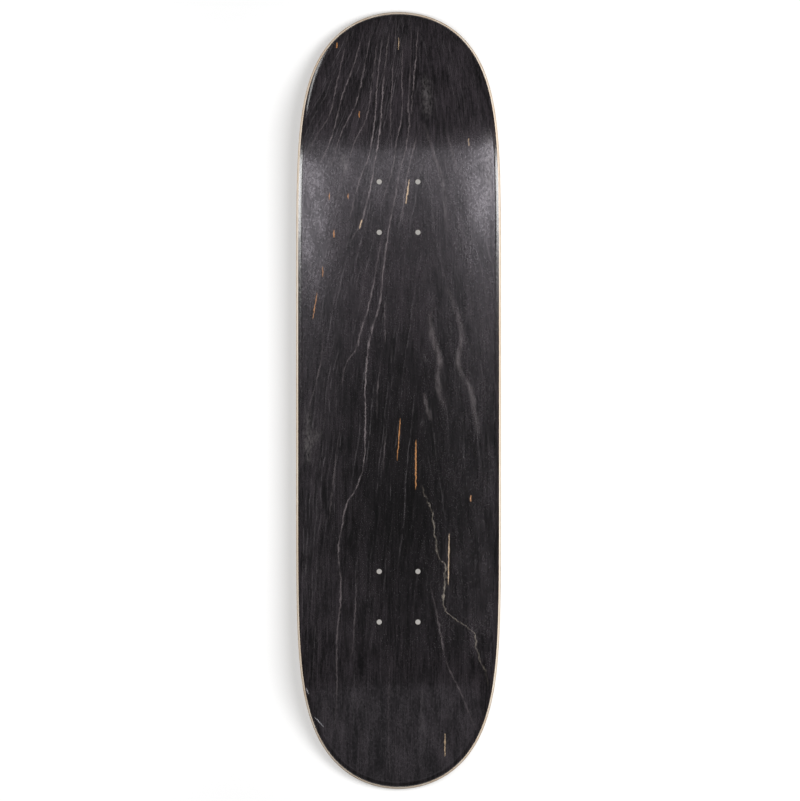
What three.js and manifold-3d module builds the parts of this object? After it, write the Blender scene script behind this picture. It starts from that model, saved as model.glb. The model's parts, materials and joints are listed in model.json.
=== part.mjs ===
// A bare skateboard deck: seven maple veneers, glued and pressed into one curved board.
//
// Units are millimetres. The deck lies underside up, on the tips of its nose and tail.
// +X runs across it, +Y towards the nose, and +Z out of the underside, where the trucks bolt on.
// The origin is on the surface that the deck lies on, under the middle of its length and width.

import * as THREE from "three";
import { mergeVertices } from "three/addons/utils/BufferGeometryUtils.js";
import Module from "manifold-3d";

const wasm = await Module();
wasm.setup();

// ---- Driving dimensions ----

const LENGTH = 832; // tip to tip
const WIDTH = 219; // at the middle of the deck

// Each half of the outline is a superellipse: a higher power makes a squarer end.
const NOSE_POWER = 7.3;
const TAIL_POWER = 6.8;

// Truck bolt holes: two rectangles of four.
const BOLTS_ACROSS = 41.3;
const BOLTS_ALONG = 54;
const WHEELBASE = 362; // between the inner bolts of the two trucks
const NOSE_LENGTH = 182.5; // from the nose's outer bolts to its tip
const BOLT_HOLE_DIAMETER = 5.5;

// The press bends the ends towards the side that people stand on, and lifts both long edges.
const KICK_RISE = 48; // at the tips of the nose and the tail
const BEND_LENGTH = 65; // the curved part of each kick, before it runs straight
const BEND_GAP = 15; // from the outer bolts to the start of the bend
const CONCAVE_RISE = 10; // at the long edges
const FLAT_BAND = 60; // width of the flat strip along the middle, where the trucks sit
const CONCAVE_LEFT_IN_KICKS = 0.5; // share of the edge lift that is left past the bend

// Lay-up: veneers and the glue between them.
const VENEER_THICKNESS = 1.5;
const GLUE_THICKNESS = 0.1;
const EDGE_DEPTH = 7; // how far in from the outline the edge is rounded, on both sides

// ---- Mesh fineness ----

const STRAIGHT_STEPS = 5; // between the two bends
const BEND_STEPS = 4; // along each bend
const END_STEPS = 9; // round each end
const SIDE_COLUMNS = 3; // from the flat strip to the edge band, on each side
const EDGE_BAND = 9; // width of the outermost strip of faces, past the rounding
const EDGE_TURNS = [20, 32]; // degrees round the edge where the outer veneers get more points
const HOLE_SIDES = 8;

// ---- Values that follow ----

const HALF_LENGTH = LENGTH / 2;
const HALF_WIDTH = WIDTH / 2;
const FLAT_SHARE = FLAT_BAND / WIDTH;
const NOSE_OUTER_BOLTS = HALF_LENGTH - NOSE_LENGTH;
const NOSE_INNER_BOLTS = NOSE_OUTER_BOLTS - BOLTS_ALONG;
const TAIL_INNER_BOLTS = NOSE_INNER_BOLTS - WHEELBASE;
const TAIL_OUTER_BOLTS = TAIL_INNER_BOLTS - BOLTS_ALONG;
const NOSE_BEND = NOSE_OUTER_BOLTS + BEND_GAP;
const TAIL_BEND = TAIL_OUTER_BOLTS - BEND_GAP;

// ---- Materials ----

function wood(colour, roughness) {
  return new THREE.MeshStandardMaterial({ color: colour, roughness, metalness: 0 });
}

const dyedBlack = wood(0x2a282b, 0.42);
const longGrain = wood(0xd9b98c, 0.6);
const crossGrain = wood(0xb98e5e, 0.75);
const curedGlue = wood(0x7a5a38, 0.5);

// The stack, from the side that people stand on to the underside.
const LAYERS = [
  { name: "top_veneer", thickness: VENEER_THICKNESS, material: longGrain },
  { name: "glue_line_1", thickness: GLUE_THICKNESS, material: curedGlue },
  { name: "top_core_veneer", thickness: VENEER_THICKNESS, material: longGrain },
  { name: "glue_line_2", thickness: GLUE_THICKNESS, material: curedGlue },
  { name: "top_crossband", thickness: VENEER_THICKNESS, material: crossGrain },
  { name: "glue_line_3", thickness: GLUE_THICKNESS, material: curedGlue },
  { name: "middle_core_veneer", thickness: VENEER_THICKNESS, material: longGrain },
  { name: "glue_line_4", thickness: GLUE_THICKNESS, material: curedGlue },
  { name: "bottom_crossband", thickness: VENEER_THICKNESS, material: crossGrain },
  { name: "glue_line_5", thickness: GLUE_THICKNESS, material: curedGlue },
  { name: "bottom_core_veneer", thickness: VENEER_THICKNESS, material: longGrain },
  { name: "glue_line_6", thickness: GLUE_THICKNESS, material: curedGlue },
  { name: "bottom_veneer", thickness: VENEER_THICKNESS, material: dyedBlack },
];
const DECK_THICKNESS = LAYERS.reduce((sum, layer) => sum + layer.thickness, 0);

// ---- Outline ----

function powerAt(y) {
  return y > 0 ? NOSE_POWER : TAIL_POWER;
}

// The right-hand point of the outline at y, with its outward direction.
function outlineAt(y) {
  const power = powerAt(y);
  const along = Math.min(1, Math.abs(y) / HALF_LENGTH);
  const x = HALF_WIDTH * Math.sqrt(1 - along ** power);
  const slopeX = (2 * x) / HALF_WIDTH ** 2;
  const slopeY = (power * along ** (power - 1) * Math.sign(y)) / HALF_LENGTH;
  const steepness = Math.hypot(slopeX, slopeY);
  return { x, y, outX: slopeX / steepness, outY: slopeY / steepness };
}

function inset(point, distance) {
  return { x: point.x - distance * point.outX, y: point.y - distance * point.outY };
}

// Places along the deck, from the tail's tip to the nose's tip, closest together round the ends.
function stationsAlong() {
  const places = [];
  for (let i = 0; i <= STRAIGHT_STEPS; i++) {
    places.push(THREE.MathUtils.lerp(TAIL_BEND, NOSE_BEND, i / STRAIGHT_STEPS));
  }
  for (const [bend, way] of [[NOSE_BEND, 1], [TAIL_BEND, -1]]) {
    const bendEnd = bend + way * BEND_LENGTH;
    for (let i = 1; i <= BEND_STEPS; i++) {
      places.push(bend + (way * BEND_LENGTH * i) / BEND_STEPS);
    }
    const power = powerAt(way);
    const firstTurn = Math.asin((Math.abs(bendEnd) / HALF_LENGTH) ** (power / 2));
    for (let i = 1; i <= END_STEPS; i++) {
      const turn = THREE.MathUtils.lerp(firstTurn, Math.PI / 2, i / END_STEPS);
      places.push(way * HALF_LENGTH * Math.sin(turn) ** (2 / power));
    }
  }
  return places.sort((a, b) => a - b);
}

// Places across the deck, as shares of the width inside the edge band.
function columnsAcross() {
  const shares = [];
  for (let i = 0; i <= SIDE_COLUMNS; i++) {
    const share = THREE.MathUtils.lerp(FLAT_SHARE, 1, i / SIDE_COLUMNS);
    shares.push(share, -share);
  }
  return shares.sort((a, b) => a - b);
}

const STATIONS = stationsAlong().map(outlineAt);
const COLUMNS = columnsAcross();

// ---- Pressed shape ----

// How far a kick has bent down at a distance past the start of its bend.
function kickDrop(past, fullLength) {
  if (past <= 0) return 0;
  const slope = KICK_RISE / (fullLength - BEND_LENGTH / 2);
  if (past < BEND_LENGTH) return (slope * past ** 2) / (2 * BEND_LENGTH);
  return slope * (past - BEND_LENGTH / 2);
}

// How far the middle of the board lies below its flat strip.
function dropAt(x, y) {
  const pastNose = y - NOSE_BEND;
  const pastTail = TAIL_BEND - y;
  const kick =
    kickDrop(pastNose, HALF_LENGTH - NOSE_BEND) + kickDrop(pastTail, HALF_LENGTH + TAIL_BEND);
  const outward = Math.max(0, (Math.abs(x) - FLAT_BAND / 2) / (HALF_WIDTH - FLAT_BAND / 2));
  const intoKick = THREE.MathUtils.smoothstep(Math.max(pastNose, pastTail), 0, BEND_LENGTH);
  const share = THREE.MathUtils.lerp(1, CONCAVE_LEFT_IN_KICKS, intoKick);
  return kick + CONCAVE_RISE * share * outward ** 2;
}

// Thickness is measured square to the surface, so it counts for more height on a slope.
function stretchAt(x, y) {
  const step = 0.01;
  const slopeX = (dropAt(x + step, y) - dropAt(x - step, y)) / (2 * step);
  const slopeY = (dropAt(x, y + step) - dropAt(x, y - step)) / (2 * step);
  return Math.hypot(1, slopeX, slopeY);
}

function pressed(point, height) {
  const { x, y } = point;
  return [x, y, (height - DECK_THICKNESS / 2) * stretchAt(x, y) - dropAt(x, y)];
}

// How far the rounded edge lies inside the outline at a height in the stack: the section of the
// edge is half an ellipse, as high as the deck is thick.
function edgeInset(height) {
  const fromMiddle = Math.min(1, Math.abs((2 * height) / DECK_THICKNESS - 1));
  return EDGE_DEPTH * (1 - Math.sqrt(1 - fromMiddle ** 2));
}

// Heights between the faces of the layers where the round edge needs more points: near both
// surfaces, where it turns the most, and half way up, where it is widest.
function roundingHeights() {
  const depths = EDGE_TURNS.map((degrees) => {
    return (DECK_THICKNESS / 2) * (1 - Math.cos(THREE.MathUtils.degToRad(degrees)));
  });
  const mirrored = depths.map((depth) => DECK_THICKNESS - depth).reverse();
  return [...depths, DECK_THICKNESS / 2, ...mirrored];
}

// The two edge points of each station at a height: left, then right.
function edgeRing(height) {
  return STATIONS.map((station) => {
    const edge = inset(station, edgeInset(height));
    return [{ x: -edge.x, y: edge.y }, edge].map((point) => pressed(point, height));
  });
}

// One face of a layer: a row of points at each station, from the left edge to the right edge.
// Two layers that touch share the same face, so nothing lies between them.
function faceRows(height) {
  const edges = edgeRing(height);
  return STATIONS.map((station, j) => {
    const inner = inset(station, EDGE_BAND);
    const row = COLUMNS.map((share) => pressed({ x: share * inner.x, y: inner.y }, height));
    return [edges[j][0], ...row, edges[j][1]];
  });
}

const ROUNDING_HEIGHTS = roundingHeights();

// The deck lies on its tips, so its lowest edge point is the height of the surface under it.
const FLOOR = Math.min(...[0, ...ROUNDING_HEIGHTS].flatMap(edgeRing).flat().map((point) => point[2]));

// ---- Solids ----

function samePlace(a, b) {
  return a[0] === b[0] && a[1] === b[1] && a[2] === b[2];
}

function addTriangle(positions, a, b, c) {
  if (samePlace(a, b) || samePlace(b, c) || samePlace(c, a)) return;
  positions.push(...a, ...b, ...c);
}

function addQuad(positions, a, b, c, d) {
  addTriangle(positions, a, b, c);
  addTriangle(positions, a, c, d);
}

// One pressed sheet between two heights in the stack, closed by its routed edge.
function sheetGeometry(bottomHeight, topHeight) {
  const bottom = faceRows(bottomHeight);
  const top = faceRows(topHeight);
  const between = ROUNDING_HEIGHTS.filter((height) => height > bottomHeight && height < topHeight);
  const rings = [bottomHeight, ...between, topHeight].map(edgeRing);
  const positions = [];
  for (let j = 0; j + 1 < STATIONS.length; j++) {
    for (let i = 0; i + 1 < top[j].length; i++) {
      addQuad(positions, top[j][i], top[j][i + 1], top[j + 1][i + 1], top[j + 1][i]);
      addTriangle(positions, bottom[j][i], bottom[j + 1][i + 1], bottom[j][i + 1]);
      addTriangle(positions, bottom[j][i], bottom[j + 1][i], bottom[j + 1][i + 1]);
    }
    for (let k = 0; k + 1 < rings.length; k++) {
      const [leftLow, rightLow] = rings[k][j];
      const [leftLowNext, rightLowNext] = rings[k][j + 1];
      const [leftHigh, rightHigh] = rings[k + 1][j];
      const [leftHighNext, rightHighNext] = rings[k + 1][j + 1];
      addQuad(positions, leftLow, leftHigh, leftHighNext, leftLowNext);
      addQuad(positions, rightLowNext, rightHighNext, rightHigh, rightLow);
    }
  }
  const geometry = new THREE.BufferGeometry();
  geometry.setAttribute("position", new THREE.Float32BufferAttribute(positions, 3));
  return geometry.translate(0, 0, -FLOOR);
}

function solidOf(geometry) {
  const bare = geometry.clone();
  bare.deleteAttribute("normal");
  bare.deleteAttribute("uv");
  const merged = mergeVertices(bare);
  return new wasm.Manifold(
    new wasm.Mesh({
      numProp: 3,
      vertProperties: new Float32Array(merged.attributes.position.array),
      triVerts: new Uint32Array(merged.index.array),
    }),
  );
}

function geometryOf(solid) {
  const mesh = solid.getMesh();
  const geometry = new THREE.BufferGeometry();
  geometry.setAttribute("position", new THREE.BufferAttribute(mesh.vertProperties, 3));
  geometry.setIndex(new THREE.BufferAttribute(mesh.triVerts, 1));
  geometry.computeVertexNormals();
  return geometry;
}

// The drill set for both trucks: eight cutters, longer than the deck is high. Each has flat sides
// that touch the round hole from outside, so the hole is nowhere too narrow for its bolt.
function drillSet() {
  const drillLength = 2 * (KICK_RISE + DECK_THICKNESS);
  const radius = BOLT_HOLE_DIAMETER / 2 / Math.cos(Math.PI / HOLE_SIDES);
  let drills = null;
  for (const y of [NOSE_OUTER_BOLTS, NOSE_INNER_BOLTS, TAIL_INNER_BOLTS, TAIL_OUTER_BOLTS]) {
    for (const side of [-1, 1]) {
      const drill = new THREE.CylinderGeometry(radius, radius, drillLength, HOLE_SIDES);
      drill.rotateX(Math.PI / 2);
      drill.translate((side * BOLTS_ACROSS) / 2, y, -FLOOR);
      const solid = solidOf(drill);
      drills = drills ? drills.add(solid) : solid;
    }
  }
  return drills;
}

// ---- The deck ----

const deck = new THREE.Group();
deck.name = "skateboard_deck";

const drills = drillSet();
let height = 0;
for (const layer of LAYERS) {
  const sheet = solidOf(sheetGeometry(height, height + layer.thickness));
  const mesh = new THREE.Mesh(geometryOf(sheet.subtract(drills)), layer.material);
  mesh.name = layer.name;
  deck.add(mesh);
  height += layer.thickness;
}

export default deck;
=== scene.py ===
# %% [markdown]
# # A bare skateboard deck
# A skateboard deck is plywood: seven thin sheets of maple, called veneers, are glued, stacked and
# pressed in a mould that bends up both ends and both long edges. Then the outline is cut, the edge
# is rounded and the bolt holes are drilled. This script makes the deck in that order. It loads the
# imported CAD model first, because every size and place comes from it.

# %% Load the frame
import json
import math

import bpy
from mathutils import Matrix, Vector

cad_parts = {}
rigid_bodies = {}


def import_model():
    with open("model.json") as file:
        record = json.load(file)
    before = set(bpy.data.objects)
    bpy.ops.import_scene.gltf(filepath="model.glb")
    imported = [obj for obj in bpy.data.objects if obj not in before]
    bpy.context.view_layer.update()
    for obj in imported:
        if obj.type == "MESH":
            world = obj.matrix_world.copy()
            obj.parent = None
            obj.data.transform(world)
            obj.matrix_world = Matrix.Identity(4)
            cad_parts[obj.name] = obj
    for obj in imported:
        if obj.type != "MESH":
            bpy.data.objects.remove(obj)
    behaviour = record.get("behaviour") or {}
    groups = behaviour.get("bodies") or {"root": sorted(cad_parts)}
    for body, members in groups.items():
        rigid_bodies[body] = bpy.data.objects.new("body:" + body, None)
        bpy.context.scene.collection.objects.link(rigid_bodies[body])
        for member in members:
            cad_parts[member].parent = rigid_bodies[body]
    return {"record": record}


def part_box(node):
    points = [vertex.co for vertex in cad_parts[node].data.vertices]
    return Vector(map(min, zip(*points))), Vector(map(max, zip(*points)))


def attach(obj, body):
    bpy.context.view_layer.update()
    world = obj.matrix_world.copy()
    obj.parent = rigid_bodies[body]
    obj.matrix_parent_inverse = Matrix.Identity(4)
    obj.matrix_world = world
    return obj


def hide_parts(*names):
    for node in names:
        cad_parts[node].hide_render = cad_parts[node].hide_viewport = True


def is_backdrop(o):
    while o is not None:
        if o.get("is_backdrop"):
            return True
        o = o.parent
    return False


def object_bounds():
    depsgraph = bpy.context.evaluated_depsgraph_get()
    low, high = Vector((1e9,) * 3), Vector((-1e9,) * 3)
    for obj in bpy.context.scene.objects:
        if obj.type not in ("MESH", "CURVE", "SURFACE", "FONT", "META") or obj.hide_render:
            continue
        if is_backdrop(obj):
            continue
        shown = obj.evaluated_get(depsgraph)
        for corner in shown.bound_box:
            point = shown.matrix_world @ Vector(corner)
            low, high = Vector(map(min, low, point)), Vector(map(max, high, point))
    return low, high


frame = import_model()
cad_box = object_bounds()
MM = 0.001  # metres in a millimetre
print("CAD box in millimetres:", [[round(value / MM, 1) for value in corner] for corner in cad_box])

# %% [markdown]
# ## The camera
# The deck lies underside up, and the camera looks straight down on it. A long lens far away keeps
# the two ends, which lie lower than the middle, from looking smaller than they are.

# %% Place the camera
SENSOR_WIDTH = 36.0  # millimetres, Blender's usual camera
CAMERA_HEIGHT = 16.0  # metres above the floor
CAMERA_SHIFT = 0.0015  # metres to the right of the middle of the deck
CAMERA_REACH = 100  # metres, past which the camera sees nothing
VIEW_WIDTH = 0.855  # metres across the picture, at the height of the deck

centre = (cad_box[0] + cad_box[1]) / 2
camera_data = bpy.data.cameras.new("camera")
camera_data.sensor_width = SENSOR_WIDTH
camera_data.lens = SENSOR_WIDTH * (CAMERA_HEIGHT - cad_box[1].z) / VIEW_WIDTH
camera_data.clip_end = CAMERA_REACH
camera = bpy.data.objects.new("camera", camera_data)
camera.location = (centre.x + CAMERA_SHIFT, centre.y, CAMERA_HEIGHT)
bpy.context.scene.collection.objects.link(camera)
bpy.context.scene.camera = camera
print("lens:", round(camera_data.lens), "mm")

# %% [markdown]
# ## Node trees as formulas
# Both the shapes and the finishes below are node trees, and most of their nodes do arithmetic. It
# is easier to read `edge * 2 + 1` than to follow two linked Math nodes. So a small class wraps a
# node's output, and Python's operators on it add the Math nodes. Any other node comes from one
# method, which sets the node's own settings first and then its sockets.

# %% Wires and graphs
class Wire:
    """One output of a node. Arithmetic on it adds a Math node to its tree."""

    def __init__(self, graph, socket):
        self.graph = graph
        self.socket = socket

    def __add__(self, other):
        return self.graph.math("ADD", self, other)

    def __sub__(self, other):
        return self.graph.math("SUBTRACT", self, other)

    def __rsub__(self, other):
        return self.graph.math("SUBTRACT", other, self)

    def __mul__(self, other):
        return self.graph.math("MULTIPLY", self, other)

    def __truediv__(self, other):
        return self.graph.math("DIVIDE", self, other)

    def __rtruediv__(self, other):
        return self.graph.math("DIVIDE", other, self)

    def __pow__(self, other):
        return self.graph.math("POWER", self, other)

    def __gt__(self, other):
        return self.graph.math("GREATER_THAN", self, other)

    __radd__ = __add__
    __rmul__ = __mul__


class Graph:
    """A node tree that is built by calls."""

    def __init__(self, tree):
        self.tree = tree

    def node(self, kind, settings=None, **sockets):
        """Adds a node and returns its outputs by name. An underscore in a socket's name is a space."""
        made = self.tree.nodes.new(kind)
        for name, value in (settings or {}).items():
            setattr(made, name, value)
        for name, value in sockets.items():
            self.plug(self.find(made.inputs, name.replace("_", " ")), value)
        return {output.name: Wire(self, output) for output in made.outputs if output.enabled}

    def find(self, sockets, name):
        return next(socket for socket in sockets if socket.enabled and socket.name == name)

    def plug(self, socket, value):
        for item in value if isinstance(value, list) else [value]:
            if isinstance(item, Wire):
                self.tree.links.new(item.socket, socket)
            else:
                socket.default_value = item

    def math(self, operation, *values):
        made = self.tree.nodes.new("ShaderNodeMath")
        made.operation = operation
        for socket, value in zip(made.inputs, values):
            self.plug(socket, value)
        return Wire(self, made.outputs[0])

    def vector(self, operation, *values, scale=None):
        made = self.tree.nodes.new("ShaderNodeVectorMath")
        made.operation = operation
        for socket, value in zip(made.inputs, values):
            self.plug(socket, value)
        if scale is not None:
            self.plug(made.inputs["Scale"], scale)
        return Wire(self, next(output for output in made.outputs if output.enabled))

    def combine(self, x, y, z):
        return self.node("ShaderNodeCombineXYZ", X=x, Y=y, Z=z)["Vector"]

    def separate(self, vector):
        parts = self.node("ShaderNodeSeparateXYZ", Vector=vector)
        return parts["X"], parts["Y"], parts["Z"]

    def smooth(self, value, low, high):
        """0 below low, 1 above high, and a smooth rise between them."""
        return self.node(
            "ShaderNodeMapRange",
            {"interpolation_type": "SMOOTHSTEP"},
            Value=value,
            From_Min=low,
            From_Max=high,
        )["Result"]


# %% [markdown]
# ## The sizes of the deck
# The CAD model is the authority. Its nodes say how wide and long the deck is and how high each
# veneer lies. The press's numbers, such as how far the ends bend, are the CAD model's own too, but
# a box doesn't tell them, so they are repeated here by name.

# %% Read the stack from the CAD nodes
LAYERS = [
    "top_veneer",
    "glue_line_1",
    "top_core_veneer",
    "glue_line_2",
    "top_crossband",
    "glue_line_3",
    "middle_core_veneer",
    "glue_line_4",
    "bottom_crossband",
    "glue_line_5",
    "bottom_core_veneer",
    "glue_line_6",
    "bottom_veneer",
]
upper_surfaces = [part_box(layer)[1].z for layer in LAYERS]
veneer = upper_surfaces[2] - upper_surfaces[1]
underneath = upper_surfaces[0] - veneer  # the side that people stand on, which faces down here
surfaces = [0.0] + [height - underneath for height in upper_surfaces]
thickness = surfaces[-1]
half_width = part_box("middle_core_veneer")[1].x
half_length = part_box("middle_core_veneer")[1].y
print("deck thickness:", round(thickness / MM, 2), "mm, veneer:", round(veneer / MM, 2), "mm")

# %% Repeat the press's numbers
NOSE_POWER = 7.3  # of the superellipse that is the front half of the outline
TAIL_POWER = 6.8
EDGE_DEPTH = 7 * MM  # how far in the edge is rounded
KICK_RISE = 48 * MM
BEND_LENGTH = 65 * MM
NOSE_BEND = 248.5 * MM  # where the nose starts to bend, from the middle of the deck
TAIL_BEND = 251.5 * MM
CONCAVE_RISE = 10 * MM  # of the long edges
FLAT_HALF_WIDTH = 30 * MM  # of the strip along the middle
CONCAVE_LEFT_IN_KICKS = 0.5
BOLT_ROWS = [233.5 * MM, 179.5 * MM, -182.5 * MM, -236.5 * MM]
BOLT_COLUMN = 20.65 * MM
BOLT_HOLE_RADIUS = 2.75 * MM
SLOPE_STEP = 0.1 * MM  # over which the rule below measures a slope
kick_slope = KICK_RISE / (half_length - NOSE_BEND - BEND_LENGTH / 2)
print("the nose bends down by", round(math.degrees(math.atan(kick_slope)), 1), "degrees")

# %% [markdown]
# ## The shape rule
# One rule places every point of every layer. A point is named by how far across the deck it is,
# how far round the outline, and how high in the stack. The rule finds the outline there, moves in
# by the rounding of the edge, and then presses the point down as the mould does. Thickness is
# measured square to the surface, so it counts for more height where the sheet slopes.

# %% Outline and press as node formulas
def outline_place(graph, turn, latitude):
    """Half the width and the place along the deck of one station of the rounded outline."""
    quarter_turns = turn * (math.pi / 2)
    way = graph.math("SIGN", turn)
    power = graph.math("MULTIPLY_ADD", turn > 0, NOSE_POWER - TAIL_POWER, TAIL_POWER)
    share = graph.math("ABSOLUTE", graph.math("SINE", quarter_turns)) ** (2 / power)
    across = graph.math("COSINE", quarter_turns) * half_width
    along = way * share * half_length
    out_x = across * (2 / half_width**2)
    out_y = way * power * share ** (power - 1) / half_length
    steepness = graph.math("SQRT", out_x * out_x + out_y * out_y)
    inset = (1 - graph.math("COSINE", latitude)) * EDGE_DEPTH
    return across - inset * out_x / steepness, along - inset * out_y / steepness


def kick_drop(graph, past, straight_length):
    """How far a kick has bent down at a distance past the start of its bend."""
    slope = KICK_RISE / (straight_length - BEND_LENGTH / 2)
    bent = graph.math("MINIMUM", graph.math("MAXIMUM", past, 0.0), BEND_LENGTH)
    straight = graph.math("MAXIMUM", past - BEND_LENGTH, 0.0)
    return bent * bent * (slope / (2 * BEND_LENGTH)) + straight * slope


def pressed_drop(graph, x, y):
    """How far the mould presses a place down below the flat strip."""
    past_nose = y - NOSE_BEND
    past_tail = -TAIL_BEND - y
    kicks = kick_drop(graph, past_nose, half_length - NOSE_BEND) + kick_drop(
        graph, past_tail, half_length - TAIL_BEND
    )
    raised = graph.math("MAXIMUM", graph.math("ABSOLUTE", x) - FLAT_HALF_WIDTH, 0.0)
    outward = raised / (half_width - FLAT_HALF_WIDTH)
    into_kick = graph.smooth(graph.math("MAXIMUM", past_nose, past_tail), 0.0, BEND_LENGTH)
    concave = (1 - into_kick * (1 - CONCAVE_LEFT_IN_KICKS)) * CONCAVE_RISE
    return kicks + concave * outward * outward


def pressed_place(graph, share, turn, latitude):
    """Where the point ends up: share is -1 to 1 across, turn is -1 to 1 from tail to nose."""
    edge, y = outline_place(graph, turn, latitude)
    x = share * edge
    drop = pressed_drop(graph, x, y)
    slope_x = (pressed_drop(graph, x + SLOPE_STEP, y) - drop) / SLOPE_STEP
    slope_y = (pressed_drop(graph, x, y + SLOPE_STEP) - drop) / SLOPE_STEP
    stretch = graph.math("SQRT", slope_x * slope_x + slope_y * slope_y + 1)
    off_middle = graph.math("SINE", latitude) * (thickness / 2)
    return graph.combine(x, y, off_middle * stretch - drop + (underneath + thickness / 2))


# %% [markdown]
# ## The layer maker
# A main piece whose shape follows a rule is what Geometry Nodes are good at, and this deck has
# thirteen of them. One tree makes any layer: two grids become its faces, two more become its edge,
# and the doubled points where they meet are merged, so that each layer is a closed sheet. Eight
# drills are then subtracted. Neighbouring layers use the same rule at the same height, so their
# faces meet exactly.

# %% Build the Geometry Nodes tree
ROWS = 161  # points from the tail's tip to the nose's tip
COLUMNS = 33  # points across a face
MERGE_DISTANCE = 0.001 * MM
DRILL_SIDES = 48
DRILL_LENGTH = 8 * thickness  # enough to pass through the bent deck
SHARP_ANGLE = math.radians(30)


def make_layer_tree():
    tree = bpy.data.node_groups.new("pressed layer", "GeometryNodeTree")
    tree.interface.new_socket("Geometry", in_out="OUTPUT", socket_type="NodeSocketGeometry")
    for name, kind in [
        ("Lower height", "NodeSocketFloat"),
        ("Upper height", "NodeSocketFloat"),
        ("Edge steps", "NodeSocketInt"),
        ("Material", "NodeSocketMaterial"),
    ]:
        tree.interface.new_socket(name, in_out="INPUT", socket_type=kind)
    graph = Graph(tree)
    asked = graph.node("NodeGroupInput")
    lower = graph.math("ARCSINE", asked["Lower height"] * (2 / thickness) - 1)
    upper = graph.math("ARCSINE", asked["Upper height"] * (2 / thickness) - 1)

    def grid(columns):
        sheet = graph.node(
            "GeometryNodeMeshGrid", Size_X=2.0, Size_Y=2.0, Vertices_X=columns, Vertices_Y=ROWS
        )["Mesh"]
        across, turn, _ = graph.separate(graph.node("GeometryNodeInputPosition")["Position"])
        return sheet, across, turn

    def placed(sheet, place, flipped):
        moved = graph.node("GeometryNodeSetPosition", Geometry=sheet, Position=place)["Geometry"]
        return graph.node("GeometryNodeFlipFaces", Mesh=moved)["Mesh"] if flipped else moved

    parts = []
    for latitude, flipped in [(lower, True), (upper, False)]:
        sheet, across, turn = grid(COLUMNS)
        parts.append(placed(sheet, pressed_place(graph, across, turn, latitude), flipped))
    for side, flipped in [(-1.0, False), (1.0, True)]:
        sheet, height, turn = grid(asked["Edge steps"])
        latitude = graph.node(
            "ShaderNodeMapRange", Value=height, From_Min=-1.0, To_Min=lower, To_Max=upper
        )["Result"]
        parts.append(placed(sheet, pressed_place(graph, side, turn, latitude), flipped))
    joined = graph.node("GeometryNodeJoinGeometry", Geometry=parts)["Geometry"]
    closed = graph.node("GeometryNodeMergeByDistance", Geometry=joined, Distance=MERGE_DISTANCE)

    drills = []
    for y in BOLT_ROWS:
        for side in (-1, 1):
            drill = graph.node(
                "GeometryNodeMeshCylinder",
                Vertices=DRILL_SIDES,
                Radius=BOLT_HOLE_RADIUS,
                Depth=DRILL_LENGTH,
            )["Mesh"]
            place = Vector((side * BOLT_COLUMN, y, underneath))
            drills.append(
                graph.node("GeometryNodeTransform", Geometry=drill, Translation=place)["Geometry"]
            )
    drill_set = graph.node("GeometryNodeJoinGeometry", Geometry=drills)["Geometry"]
    drilled = graph.node(
        "GeometryNodeMeshBoolean",
        {"operation": "DIFFERENCE", "solver": "EXACT"},
        Mesh_1=closed["Geometry"],
        Mesh_2=drill_set,
    )["Mesh"]
    smooth = graph.node("GeometryNodeSetShadeSmooth", Geometry=drilled, Shade_Smooth=True)
    bend = graph.node("GeometryNodeInputMeshEdgeAngle")["Unsigned Angle"]
    creased = graph.node(
        "GeometryNodeSetShadeSmooth",
        {"domain": "EDGE"},
        Geometry=smooth["Geometry"],
        Selection=bend > SHARP_ANGLE,
        Shade_Smooth=False,
    )
    real = graph.node("GeometryNodeRealizeInstances", Geometry=creased["Geometry"])["Geometry"]
    finished = graph.node(
        "GeometryNodeSetMaterial", Geometry=real, Material=asked["Material"]
    )["Geometry"]
    graph.node("NodeGroupOutput", Geometry=finished)
    return tree


layer_tree = make_layer_tree()
print("layer tree:", len(layer_tree.nodes), "nodes")


# %% One layer from the tree
def plain_mesh(source, name):
    """Turns what a modifier makes into a mesh of its own."""
    depsgraph = bpy.context.evaluated_depsgraph_get()
    mesh = bpy.data.meshes.new_from_object(source.evaluated_get(depsgraph))
    mesh.name = name
    piece = bpy.data.objects.new(name, mesh)
    bpy.context.scene.collection.objects.link(piece)
    return piece


def press_layer(name, lower, upper, edge_steps, material):
    blank = bpy.data.objects.new("blank", bpy.data.meshes.new("blank"))
    bpy.context.scene.collection.objects.link(blank)
    modifier = blank.modifiers.new("pressed layer", "NODES")
    modifier.node_group = layer_tree
    values = {
        "Lower height": lower,
        "Upper height": upper,
        "Edge steps": edge_steps,
        "Material": material,
    }
    for item in layer_tree.interface.items_tree:
        if item.in_out == "INPUT":
            modifier[item.identifier] = values[item.name]
    piece = plain_mesh(blank, name)
    bpy.data.objects.remove(blank)
    return piece


# %% [markdown]
# ## How a finish is described
# Wood has no picture wrapped round it: its figure goes right through. So each finish works from a
# place in space, in millimetres, and not from an unwrapped map, and the edge of a sheet shows the
# same fibres as its face. Most of what the eye takes for wood is noise that is stretched along the
# grain. A finish here is a node tree with a few helpers for that: noise of a given size, a mask
# that is 1 near a line, and a mix of two colours.

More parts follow.
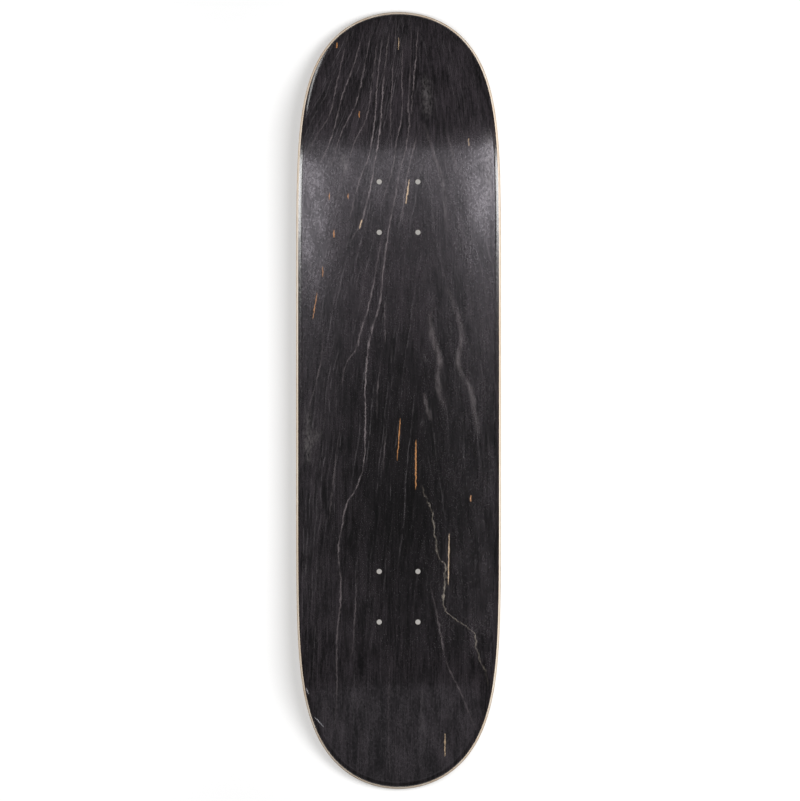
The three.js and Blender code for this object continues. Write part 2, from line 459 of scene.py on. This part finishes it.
# %% A node tree with a wood finisher's helpers
class Finish(Graph):
    """A material that is described in millimetres."""

    def __init__(self, name, constants):
        self.material = bpy.data.materials.new(name)
        self.material.use_nodes = True
        super().__init__(self.material.node_tree)
        self.shader = self.tree.nodes["Principled BSDF"]
        for socket, value in constants.items():
            self.shader.inputs[socket].default_value = value
        metres = self.node("ShaderNodeTexCoord")["Object"]
        self.place = self.vector("SCALE", metres, scale=1 / MM)
        self.x, self.y, self.z = self.separate(self.place)

    def noise(self, size, detail=2.0, seed=0.0, place=None):
        """Noise around 0.5, with lumps of the given size along each axis."""
        per_lump = tuple(1 / length for length in size)
        start = (seed, 1.7 * seed, 2.3 * seed)
        where = self.vector("MULTIPLY_ADD", place or self.place, per_lump, start)
        return self.node("ShaderNodeTexNoise", Vector=where, Scale=1.0, Detail=detail)["Fac"]

    def random(self, number):
        """A random value from 0 to 1, the same wherever the number is the same."""
        return self.node(
            "ShaderNodeTexWhiteNoise", {"noise_dimensions": "1D"}, W=number
        )["Value"]

    def near(self, distance, width):
        """1 at no distance, and 0 from a width on."""
        return 1 - self.smooth(distance, 0.0, width)

    def mix(self, share, first, second):
        return self.node(
            "ShaderNodeMix", {"data_type": "RGBA"}, Factor=share, A=first, B=second
        )["Result"]

    def finish(self, colour, roughness, height, depth):
        """Connects the shader. One unit of height is a relief of depth millimetres."""
        normal = self.node("ShaderNodeBump", Distance=depth * MM, Height=height)["Normal"]
        self.plug(self.shader.inputs["Base Color"], colour)
        self.plug(self.shader.inputs["Roughness"], roughness)
        self.plug(self.shader.inputs["Normal"], normal)
        print(self.material.name, "has", len(self.tree.nodes), "nodes")
        return self.material


def tint(red, green, blue):
    """A colour picked as a screen shows it, from 0 to 255, as the linear light a shader takes."""
    shares = [value / 255 for value in (red, green, blue)]
    linear = [s / 12.92 if s < 0.04045 else ((s + 0.055) / 1.055) ** 2.4 for s in shares]
    return (*linear, 1.0)


# %% [markdown]
# ## The rings of the black veneer
# The underside is one sheet of maple, dyed black right through and given a thin clear coat. The
# sheet is peeled from a log, so it cuts the growth rings at a low angle, and they show as nested
# arches. The dye takes badly where a ring is dense, so each ring leaves a thin pale line.
# The rings could be a Wave texture, but its waves are all alike. Here a formula gives the ring's
# number at every place: it rises on both sides of an axis, faster at the nose, where the arches
# crowd together. The fraction of that number says how near a line is, and its whole part picks
# how strong that line is. These are the faint lines, three to each ring. The few strong ones are
# listed one by one in the next step.

# %% Growth rings
RING_AXIS = 26.0  # millimetres right of the middle
RING_PITCH = 11.0
FAN = 0.55  # how much closer the rings stand at the nose's tip
FAN_POWER = 1.7
ARCH = 6.0  # half width of the arches' round tops
WANDER = 16  # millimetres that the rings drift over the length of a hand
JAGS = 2.2  # millimetres that they shake over the width of a finger
CLIMB = 0.0096  # rings per millimetre along the middle of the deck
CLIMB_GROWTH = 1.18e-5  # more of them with each millimetre towards the nose
THROUGH = 500  # millimetres: through the thin sheet the noise hardly changes


def growth_rings(finish):
    """The number of the ring at each place, and the width of a ring there in millimetres."""
    wander = finish.noise((70, 90, THROUGH), detail=3.0, seed=3.1) - 0.5
    jagged = finish.noise((9, 13, THROUGH), detail=2.0, seed=8.4) - 0.5
    across = finish.x + wander * WANDER + jagged * JAGS - RING_AXIS
    ahead = finish.math("MAXIMUM", finish.y, 0.0) * (MM / half_length)
    spread = 1 - ahead**FAN_POWER * FAN
    from_axis = across / spread
    arms = finish.math("SQRT", from_axis * from_axis + ARCH**2)
    climb = finish.y * CLIMB + finish.y * finish.y * CLIMB_GROWTH
    return arms / RING_PITCH + climb, spread * RING_PITCH


FAR_APART = 37.0  # millimetres of noise between one ring and the next, so that they differ


def ring_lines(finish, ring, pitch, width, seed):
    """Thin lines where the ring number is whole. Each has its own strength, and comes and goes."""
    whole = finish.math("ROUND", ring)
    distance = finish.math("ABSOLUTE", ring - whole) * pitch
    strength = finish.random(whole + seed)
    along = finish.combine(whole * FAR_APART, finish.y, 0.0)
    comes = finish.smooth(finish.noise((20, 60, 20), seed=seed, place=along), 0.36, 0.62)
    broken = finish.smooth(finish.noise((3, 12, THROUGH), detail=2.0, seed=seed + 5), 0.35, 0.6)
    return finish.near(distance, width) * strength * strength * comes * broken


# %% [markdown]
# ## The marks in the black veneer
# No two boards are alike, and this one has marks of its own. Some ring lines are much paler than
# the rest, and two of them run as hairlines most of the way along the board. There are slivers
# where the dye did not take and orange or pale wood shows, a jagged pale crack near the tail, two
# scratches, and a few places where the black is scuffed.
# A mark could be painted, but a formula keeps it sharp at any size. A sliver is every place within
# a small distance of a straight stroke, and that distance shrinks to nothing at both ends. A scuff
# is the same stroke, wide and soft. A long line is a curve of x against y through a few listed
# points, and noise shakes it and breaks it up.

# %% Strokes and long lines
def stroke(finish, place, start, end, width, soft=0.4):
    """1 on a straight mark between two places (x, y), which tapers to both ends."""
    start = Vector((*start, 0.0))
    way = Vector((*end, 0.0)) - start
    offset = finish.vector("SUBTRACT", place, start)
    share = finish.vector("DOT_PRODUCT", offset, way / way.length_squared)
    inside = finish.math("MINIMUM", finish.math("MAXIMUM", share, 0.0), 1.0)
    across = finish.vector("SUBTRACT", offset, finish.vector("SCALE", way, scale=inside))
    distance = finish.vector("LENGTH", across)
    half = finish.math("SQRT", inside * (1 - inside)) * width
    return 1 - finish.smooth(distance, half - soft, half + soft)


def long_line(finish, x, places, width, handle="AUTO"):
    """1 on a line through places (x, y) that are listed from the tail to the nose."""
    made = finish.tree.nodes.new("ShaderNodeFloatCurve")
    curve = made.mapping.curves[0]
    low, high = places[0][1], places[-1][1]
    reach = half_width / MM
    points = [((y - low) / (high - low), (x_there / reach + 1) / 2) for x_there, y in places]
    for point, (share, value) in zip(curve.points, (points[0], points[-1])):
        point.location = (share, value)
    for share, value in points[1:-1]:
        curve.points.new(share, value)
    for point in curve.points:
        point.handle_type = handle
    made.mapping.update()
    share = (finish.y - low) / (high - low)
    finish.plug(made.inputs["Value"], share)
    middle = (Wire(finish, made.outputs["Value"]) * 2 - 1) * reach
    distance = finish.math("ABSOLUTE", x - middle)
    ends = finish.near(finish.math("ABSOLUTE", share - 0.5), 0.5) ** 0.3
    return finish.near(distance, width) * ends


# %% [markdown]
# The places of the marks follow, in millimetres from the middle of the deck: x to the right, y
# towards the nose. A stroke has its two ends and its width. A long line has how strong it is, half
# its width, and the places that it passes through.

# %% The places of the marks
ORANGE_SLIVERS = [
    ((1.8, -19), (-1.4, -64), 1.1),
    ((18.4, -42), (18.4, -95), 1.5),
    ((77, -101), (77, -108), 1.2),
    ((-87, 115), (-91.5, 87), 0.9),
    ((-81, 143), (-81, 132), 1.0),
    ((-69, 182), (-69, 174), 1.0),
    ((-74, 222), (-74, 214), 1.0),
    ((-54, 221), (-54, 215), 0.9),
    ((-42, 309), (-42, 302), 1.0),
    ((-66, 383), (-66, 377), 0.9),
]
PALE_SLIVERS = [
    ((54, -142), (53, -197), 1.1),
    ((49.6, -356), (49.6, -381), 1.1),
    ((0, 388), (0, 375), 0.8),
    ((75, 280), (75, 272), 0.7),
    ((11.5, 236), (7.7, 210), 1.2),
    ((-42, 183), (-39, 193), 1.3),
]
SCRATCHES = [
    ((-99, -307), (-96, -314), 0.6),
    ((-90, -338), (-80, -349), 0.6),
]
SCUFFS = [
    ((-100, -50), (-84, -34), 6),
    ((-97, -10), (-97, -66), 5),
    ((29, 345), (31, 305), 7),
    ((97, 285), (97, 215), 9),
    ((-60, 262), (-56, 245), 5),
]
LONG_LINES = [  # strength, half width, places from the tail to the nose
    (0.75, 1.2, [
        (-69, -353), (-66, -310), (-66, -256), (-61.5, -205), (-64, -154), (-61, -138), (-56.6, -114),
        (-44.8, -92), (-38, -71), (-35.7, -31), (-35.2, 25), (-29.8, 70), (-20, 105), (-16.5, 139),
        (-9.5, 188), (-3, 220), (1.2, 244), (7.6, 268), (11.5, 298), (10.5, 312), (11.9, 337), (13, 408),
    ]),
    (1.0, 1.2, [
        (-53, 167), (-43.4, 183.5), (-38.9, 192.6), (-36.6, 201.5), (-29.8, 229), (-26, 251),
        (-20, 289), (-16.5, 337), (-9.8, 395),
    ]),
    (0.6, 1.0, [(-99, 260), (-87, 284), (-75, 302), (-66, 340), (-54, 393)]),
    (0.75, 1.0, [(-94, 238), (-78, 265), (-67, 297), (-60.6, 324), (-50, 353), (-38, 393)]),
    (0.7, 1.0, [(-74, 246), (-70, 257), (-62, 284), (-53, 302), (-46, 316), (-40, 340), (-30, 393)]),
    (0.5, 1.0, [(-63, 230), (-55, 252), (-46, 278), (-35, 300), (-28.5, 340), (-22, 393)]),
    (0.9, 1.0, [
        (-52, 193), (-46, 220), (-40, 240), (-32, 260), (-27, 289), (-24, 316), (-23, 337), (-16.5, 393),
    ]),
    (0.5, 0.9, [(-7, 268), (-8.4, 294), (-7, 337), (-2, 409)]),
    (0.6, 0.9, [(-20, 205), (-7, 246), (-2, 278), (3.6, 305), (3.6, 350), (5.5, 393)]),
    (0.7, 1.0, [(13.5, 305), (16, 340), (19.6, 380), (21, 402)]),
    (0.5, 1.1, [(3.6, 188), (7.6, 230), (15.6, 268), (23.6, 300)]),
    (0.25, 3.0, [(50, 190), (47.7, 230), (35.7, 268), (27, 297)]),
    (0.25, 2.5, [(66, 240), (58.4, 262), (50.4, 291)]),
    (0.6, 1.3, [(-60.6, 14), (-55, 41), (-46, 54), (-40.5, 73), (-32.5, 99), (-25, 134), (-19, 170)]),
    (0.45, 0.9, [(-14.3, 60), (-15, 106)]),
    (0.4, 1.0, [(-23, -20), (-21.8, 19), (-17.8, 43)]),
    (0.35, 5.0, [(50.4, -10), (42.3, 17), (43, 46), (35.7, 70), (34, 96)]),
    (0.28, 4.5, [(85, -37), (81, -10), (77, 11), (63.7, 38), (67.7, 70), (61, 97), (50, 124)]),
    (0.28, 3.5, [(34.3, -22), (30, -5), (26.3, 9)]),
    (0.3, 1.2, [(-16.5, -75), (-13.8, -33)]),
    (0.3, 1.2, [(-74, -128), (-70, -88), (-63, -31)]),
    (0.35, 1.2, [(-97, -10), (-86, 27), (-80.6, 60)]),
    (0.35, 1.1, [(-50, -274), (-46, -219), (-44.5, -188)]),
    (0.4, 1.4, [(82.4, -352), (66.4, -312), (50.4, -277), (45, -250), (34, -196)]),
    (0.25, 1.0, [(-9, -408), (-10.6, -315), (-8.4, -274)]),
]
CRACK = [
    (97, -307),
    (93, -288),
    (88, -279.5),
    (82.4, -263.5),
    (81, -248),
    (75, -243),
    (64, -236),
    (50.4, -225),
    (47, -215),
    (50, -192),
    (50.4, -176),
    (42.3, -167),
    (38, -138),
    (35, -117),
    (24, -90),
]
strokes = ORANGE_SLIVERS + PALE_SLIVERS + SCRATCHES + SCUFFS
print("marks placed by hand:", len(strokes), "strokes,", len(LONG_LINES), "long lines and a crack")


# %% [markdown]
# ## The black finish
# Black dye leaves the wood almost black, with a slight purple cast. Painted shade makes it darkest
# in an oval in the middle of the board. The fibres still show, because each one takes the dye and
# reflects light a little differently. So the fibre noise goes into the colour, into the roughness
# and into a relief of up to a few tenths of a millimetre.
# The clear coat soaks into the face unevenly, so the sheen there is mottled. On the rounded edge,
# which was sanded smooth, the coat lies whole and shows a sharp highlight. One number, the coat's
# weight, says how much of it there is at each place.

# %% The fibres and the dye
DYE_DARK = tint(7, 6, 7)
DYE_PALE = tint(38, 34, 37)
# painted shade: the colour that darkens an oval in the middle of the board
PAINTED_SHADE_BLACK = tint(4, 4, 4)


def fibre_noises(finish):
    """The noises that the colour, the relief and the coat share, named for what they stand for."""
    return {
        "mottle": finish.noise((1.9, 4.0, THROUGH), detail=3.0, seed=4.8),
        "fine": finish.noise((1.3, 2.6, THROUGH), detail=3.0, seed=21.0),
        "fibres": finish.noise((1.5, 26, THROUGH), detail=3.0, seed=1.3),
        "patches": finish.noise((14, 40, THROUGH), detail=4.0, seed=6.1),
    }


def dyed_wood(finish, noises, ring):
    """The black of the board before any mark, with painted shade that darkens an oval in the middle."""
    bands = finish.noise((0.5, 120, THROUGH), seed=2.2, place=finish.combine(ring, finish.y, 0.0))
    clouds = finish.noise((45, 60, THROUGH), detail=2.0, seed=9.7)
    small = noises["mottle"] * 0.6 + noises["fine"] * 0.4 + noises["fibres"] * 1.2
    tone = small + bands * 0.7 + noises["patches"] * 0.8 + clouds * 0.4
    colour = finish.mix(finish.smooth(tone, 1.65, 2.55), DYE_DARK, DYE_PALE)
    # painted shade: the black is darkened in an oval in the middle of the board
    from_shade_middle = finish.vector("MULTIPLY_ADD", finish.place, (1 / 130, 1 / 290, 0), (-0.1, 0.3, 0))
    painted_middle_shade = finish.near(finish.vector("LENGTH", from_shade_middle), 1.1)
    return finish.mix(painted_middle_shade * 0.75, colour, PAINTED_SHADE_BLACK)


# %% Ring lines and the crack
LINES_PER_RING = 3
FAINT_LINE = tint(90, 86, 88)
RING_LINE = tint(98, 91, 92)
CRACKED_WOOD = tint(104, 97, 88)


def with_lines(finish, colour, ring, pitch):
    """Adds the faint rings, which grow fainter to the right and to the tail, and the long lines."""
    right_side = finish.smooth(finish.x, RING_AXIS - 20, RING_AXIS + 30)
    tail_side = finish.near(finish.y + 400, 420)
    strength = (1 - right_side * 0.4) * (1 - tail_side * 0.6)
    faint = ring_lines(finish, ring * LINES_PER_RING, pitch / LINES_PER_RING, 0.9, 47.0) * strength
    colour = finish.mix(faint * 0.4, colour, FAINT_LINE)

    shake = finish.noise((3, 6, THROUGH), detail=3.0, seed=5.5) - 0.5
    shaken = finish.x + shake * 3.5
    broken = finish.smooth(finish.noise((3, 16, THROUGH), detail=3.0, seed=14.0), 0.3, 0.62)
    for part, width, places in LONG_LINES:
        line = long_line(finish, shaken, places, width) * (broken * 0.75 + 0.15)
        colour = finish.mix(line * part, colour, RING_LINE)
    crack = long_line(finish, finish.x + shake * 7, CRACK, 1.1, "VECTOR")
    return finish.mix(crack * (broken * 0.6 + 0.15), colour, CRACKED_WOOD)


# %% Slivers, scratches and scuffs
ORANGE_WOOD = tint(142, 98, 58)
PALE_WOOD = tint(150, 130, 106)
SCRATCHED_COAT = tint(150, 150, 154)
SCUFFED_DYE = tint(95, 92, 90)


def with_marks(finish, colour, mottle):
    """Adds the strokes. The mottle bends the thin ones a little and speckles the scuffs."""
    sway = finish.combine((mottle - 0.5) * 2.5, 0.0, finish.z * -1)
    bent = finish.vector("ADD", finish.place, sway)
    for marks, shade in [
        (ORANGE_SLIVERS, ORANGE_WOOD),
        (PALE_SLIVERS, PALE_WOOD),
        (SCRATCHES, SCRATCHED_COAT),
    ]:
        for start, end, width in marks:
            colour = finish.mix(stroke(finish, bent, start, end, width) * 0.85, colour, shade)
    speckles = finish.smooth(mottle, 0.3, 0.8)
    flat = finish.combine(finish.x, finish.y, 0.0)
    for start, end, width in SCUFFS:
        scuff = stroke(finish, flat, start, end, width, width) * speckles
        colour = finish.mix(scuff * 0.4, colour, SCUFFED_DYE)
    return colour


# %% Make the black finish
BARE_ROUGHNESS = 0.36  # of the dyed face where there is no fleck
LEAST_COAT = 0.18  # the coat's weight there
RELIEF = 0.3  # millimetres


def rounded_edge(finish):
    """1 on the rounded edge, and 0 on the face."""
    out_x = finish.x * (MM / half_width)
    out_y = finish.math("ABSOLUTE", finish.y) * (MM / half_length)
    return finish.smooth(out_x * out_x + out_y**TAIL_POWER, 0.85, 0.91)


def dyed_finish():
    finish = Finish("dyed_maple", {"Coat Roughness": 0.15})
    ring, pitch = growth_rings(finish)
    noises = fibre_noises(finish)
    mottle, fine, fibres = noises["mottle"], noises["fine"], noises["fibres"]
    colour = dyed_wood(finish, noises, ring)
    colour = with_lines(finish, colour, ring, pitch)
    colour = with_marks(finish, colour, mottle)

    edge = rounded_edge(finish)
    flecks = finish.smooth(fine * 0.5 + mottle * 0.25 + noises["patches"] * 0.35, 0.42, 0.7)
    coat = finish.math("MAXIMUM", flecks * 0.45 + LEAST_COAT, edge)
    finish.plug(finish.shader.inputs["Coat Weight"], coat)
    roughness = (BARE_ROUGHNESS - flecks * 0.12) * (1 - edge * 0.45)
    height = mottle * 0.5 + fine * 0.3 + fibres * 0.5
    return finish.finish(colour, roughness, height, RELIEF)


# %% [markdown]
# ## Natural maple
# The six other veneers are bare maple. Maple is pale and close-grained: soft cream with slightly
# browner latewood, and short dark flecks. One function makes both the sheets whose grain runs
# along the deck and the two crossbands, whose grain runs across it. Only the direction in which
# the noise is stretched changes, so the crossbands show their darker cut ends along the sides of
# the deck, and the other sheets show theirs round the nose and the tail.

# %% Make natural maple
def maple_finish(name, along_deck, pale, brown, dark):
    finish = Finish(name, {})

    def grain(width, length, detail, seed):
        size = (width, length, width) if along_deck else (length, width, width)
        return finish.noise(size, detail=detail, seed=seed)

    ply = finish.math("FLOOR", finish.z / 1.6)
    figure = grain(9, 160, 3.0, 12.5) + finish.random(ply) * 0.25
    fibres = grain(0.35, 9, 3.0, 20.1)
    pores = finish.smooth(grain(0.5, 5, 1.0, 31.7), 0.66, 0.78)
    colour = finish.mix(finish.smooth(figure, 0.35, 0.85), pale, brown)
    colour = finish.mix(finish.smooth(fibres, 0.45, 0.8) * 0.35, colour, brown)
    colour = finish.mix(pores * 0.5, colour, dark)
    roughness = 0.5 + fibres * 0.2
    return finish.finish(colour, roughness, fibres - pores * 0.5, 0.04)


# %% [markdown]
# ## Glue
# The glue between the veneers is a film a tenth of a millimetre thick. It squeezes out under the
# press, is cut off with the outline, and shows as a thin amber-brown line, smoother than the wood.
# It soaks into the fibres unevenly, so its colour changes along the line.

# %% Make the glue
def glue_finish():
    finish = Finish("glue", {})
    soaked = finish.noise((6, 6, 2), detail=3.0, seed=15.0)
    colour = finish.mix(finish.smooth(soaked, 0.35, 0.7), tint(96, 66, 40), tint(150, 112, 72))
    return finish.finish(colour, 0.3 + soaked * 0.25, soaked, 0.02)


# %% All the finishes
SLOT_OF = {item["node"]: item["material_slot"] for item in frame["record"]["subparts"]}
finishes = {
    "dyed_maple": dyed_finish(),
    "maple": maple_finish(
        "maple", True, tint(198, 189, 175), tint(180, 162, 141), tint(135, 110, 86)
    ),
    "cross_maple": maple_finish(
        "cross_maple", False, tint(180, 160, 135), tint(153, 128, 98), tint(108, 82, 58)
    ),
    "glue": glue_finish(),
}

# %% Press the thirteen layers
for index, layer in enumerate(LAYERS):
    slot = SLOT_OF[layer]
    steps = 3 if slot == "glue" else 9
    piece = press_layer(
        "deck_" + layer, surfaces[index], surfaces[index + 1], steps, finishes[slot]
    )
    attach(piece, "root")
    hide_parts(layer)
    print(piece.name, len(piece.data.polygons), "faces")

# %% [markdown]
# ## Floor and light
# The deck lies on a light table: a white sheet that glows from below, so that it stays bright even
# in the shadow of the deck. The glow is dimmed round the bolt holes, as painted shade under the
# deck, so the holes show it as light grey dots, and it is raised far out to the sides as painted
# light. The key lamp at the right throws a short, soft shadow to the left, and a weaker fill lamp
# keeps that shadow pale.
# All the other lamps light only the deck, which light linking makes possible. Three small boxes
# half a metre above it put the broad sheen on the nose half: one over its middle, and one over
# each of the slopes of the concave. A tall window on each side shines in the rounded edges. One
# more window shines in the edge of the nose, and one lamp lifts the tail.

# %% A light table
TABLE_REACH = 20.0  # metres from the middle to each side
TABLE_GLOW = 0.58
# painted shade: the glow is dimmed in this patch under the deck, round the bolt holes
HOLE_SHADE_PATCH = (220, 80.0, 90.0)  # how far along the deck, half width and half length, millimetres
# painted light: the glow grows brighter between these distances from the middle line
PAINTED_LIGHT_FROM, PAINTED_LIGHT_AT = 150.0, 420.0  # millimetres from the middle line


def light_table():
    corners = [(-1, -1), (1, -1), (1, 1), (-1, 1)]
    mesh = bpy.data.meshes.new("floor")
    mesh.from_pydata([(x * TABLE_REACH, y * TABLE_REACH, 0) for x, y in corners], [], [range(4)])
    surface = Finish("floor", {"Emission Strength": TABLE_GLOW})
    paper = surface.noise((0.6, 0.6, 0.6), detail=3.0)
    colour = surface.mix(paper, tint(166, 166, 166), tint(174, 174, 174))
    out = surface.math("ABSOLUTE", surface.x)
    # painted shade under the deck, round the bolt holes, seen through them as grey dots
    patch_y, patch_half_width, patch_half_length = HOLE_SHADE_PATCH
    along = surface.math("ABSOLUTE", surface.y) - patch_y
    painted_hole_shade = surface.near(out, patch_half_width) * surface.near(along, patch_half_length)
    glow = surface.mix(painted_hole_shade, tint(230, 230, 230), tint(178, 178, 178))
    # painted light: the glow is raised far out to the sides
    far = surface.smooth(out, PAINTED_LIGHT_FROM, PAINTED_LIGHT_AT)
    glow = surface.mix(far, glow, tint(255, 255, 255))
    surface.plug(surface.shader.inputs["Emission Color"], glow)
    mesh.materials.append(surface.finish(colour, 0.9, paper, 0.02))
    table = bpy.data.objects.new("floor", mesh)
    bpy.context.scene.collection.objects.link(table)
    return table


table = light_table()
table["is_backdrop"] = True
print("table:", [round(length) for length in table.dimensions], "m")

# %% A softbox
deck_only = bpy.data.collections.new("lit by the boxes")
for piece in bpy.data.objects:
    if piece.name.startswith("deck_"):
        deck_only.objects.link(piece)


def softbox(name, place, aim, size, power, receivers=None, colour=(1, 1, 1)):
    """A soft area lamp, which can be made to light only some of the objects."""
    data = bpy.data.lights.new(name, "AREA")
    data.shape = "RECTANGLE"
    data.size, data.size_y = size
    data.energy = power
    data.color = colour
    lamp = bpy.data.objects.new(name, data)
    lamp.location = place
    lamp.rotation_euler = (Vector(aim) - Vector(place)).to_track_quat("-Z", "Y").to_euler()
    if receivers:
        lamp.light_linking.receiver_collection = receivers
    bpy.context.scene.collection.objects.link(lamp)
    return lamp


# %% Light the studio
COOL = (1.0, 0.94, 1.03)
WORLD_STRENGTH = 0.06

key = softbox("key", (0.55, 0.0, 1.4), (0, 0, 0), (0.9, 0.9), 36)
key.visible_glossy = False
fill = softbox("fill", (-0.9, 0.0, 1.2), (0, 0, 0), (0.9, 0.9), 7)
fill.visible_glossy = False
softbox("top", (0, 0.305, 0.6), (0, 0.305, 0.05), (0.5, 0.18), 0.38, deck_only, COOL)
softbox("tail", (0, -1.4, 1.35), (0, -0.33, 0.05), (0.8, 0.4), 0.36, deck_only, COOL)
softbox("nose window", (-0.85, 1.15, 0.45), (-0.07, 0.35, 0.04), (0.2, 0.8), 2.2, deck_only)
for name, side, box_y, box_length, box_power, window_power, window_height in [
    ("left", -1, 0.22, 0.14, 0.43, 5, 1.1),
    ("right", 1, 0.275, 0.18, 0.66, 4, 0.9),
]:
    softbox(
        name + " box",
        (side * 0.35, box_y, 0.6),
        (side * 0.1, box_y, 0.05),
        (box_length, 0.2),
        box_power,
        deck_only,
        COOL,
    )
    softbox(
        name + " window",
        (side * 1.2, 0.26, window_height / 2),
        (side * 0.1, 0.26, window_height / 2),
        (0.13, window_height),
        window_power,
        deck_only,
    )

world = bpy.data.worlds.new("studio")
world.use_nodes = True
background = world.node_tree.nodes["Background"]
background.inputs["Color"].default_value = (1, 1, 1, 1)
background.inputs["Strength"].default_value = WORLD_STRENGTH
bpy.context.scene.world = world
bpy.context.scene.view_settings.view_transform = "Standard"
lamps = [thing.name for thing in bpy.data.objects if thing.type == "LIGHT"]
print("lamps:", lamps)

# %% Print how far the visual box differs from the CAD box
visual_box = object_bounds()
for name, seen, planned in zip(("lowest", "highest"), visual_box, cad_box):
    print(name, "corner differs by", [round(v / MM, 4) for v in seen - planned], "mm")
